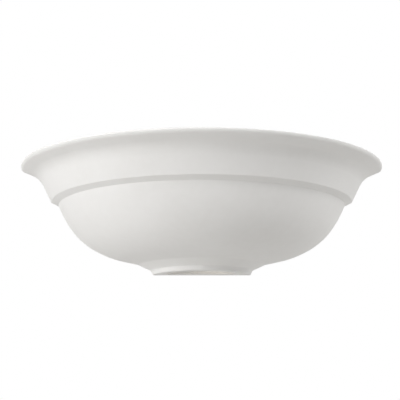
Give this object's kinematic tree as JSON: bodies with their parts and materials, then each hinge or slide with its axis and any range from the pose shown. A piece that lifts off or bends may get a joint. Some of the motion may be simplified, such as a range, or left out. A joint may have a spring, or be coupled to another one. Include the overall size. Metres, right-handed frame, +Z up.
{
  "type": "wall uplighter",
  "caption": "Half-bowl wall uplighter in matt unglazed ceramic with a rolled rim, stepped band and open collared foot, clamped to a steel bracket that holds a horizontal screw-cap lamp.",
  "frame": {"origin": "on the wall face, midway between the two fixing slots of the wall bracket", "axes": "+X to the right as seen from the room, +Y into the wall, +Z up; the whole light is in front of the wall face y = 0"},
  "size_m": [0.3398, 0.1602, 0.102],
  "materials": {
    "bisque_ceramic": "matt unglazed off-white bisque",
    "zinc_steel": "bright zinc plate on pressed steel",
    "rivet_aluminium": "plain rivet alloy",
    "brass": "turned brass",
    "tinned_brass": "tin plate on brass",
    "nickel_shell": "nickel plate on drawn sheet",
    "silicone": "pale grey silicone sheet",
    "black_rubber": "black moulded rubber",
    "porcelain": "glazed white porcelain",
    "nylon": "natural nylon",
    "brown_silicone": "brown silicone insulation",
    "blue_silicone": "blue silicone insulation",
    "green_silicone": "green and yellow silicone insulation",
    "lamp_cap_metal": "plated lamp cap",
    "black_glass": "black insulator",
    "white_plastic": "white moulded housing",
    "board_aluminium": "white-faced aluminium board",
    "opal_plastic": "opal diffuser, lit"
  },
  "bodies": {
    "fixture": {"bracket_rivets": "rivet_aluminium", "bracket_studs": "zinc_steel", "carrier_grommet": "black_rubber", "carrier_plate": "zinc_steel", "ceramic_shade": "bisque_ceramic", "earth_screw": "brass", "earth_tag": "tinned_brass", "earth_washer": "zinc_steel", "lampholder_body": "porcelain", "lampholder_bracket": "zinc_steel", "lampholder_contact": "brass", "lampholder_screws": "zinc_steel", "lampholder_shell": "nickel_shell", "lampholder_terminals": "brass", "lead_clip": "nylon", "lead_earth": "green_silicone", "lead_live": "brown_silicone", "lead_neutral": "blue_silicone", "shade_gasket": "silicone", "stud_washers": "zinc_steel", "terminal_block": "nylon", "terminal_block_screws": "zinc_steel", "terminal_screws": "zinc_steel", "terminal_tubes": "brass", "thumb_nuts": "brass", "wall_bracket": "zinc_steel"},
    "lamp": {"lamp_body": "white_plastic", "lamp_cap": "lamp_cap_metal", "lamp_contact": "tinned_brass", "lamp_diffuser": "opal_plastic", "lamp_insulator": "black_glass", "lamp_led_board": "board_aluminium"}
  },
  "joints": [
    {"name": "lamp_unscrew", "type": "slide", "parent": "fixture", "child": "lamp", "axis": [1, 0, 0], "range_m": [0, 0.028]}
  ]
}
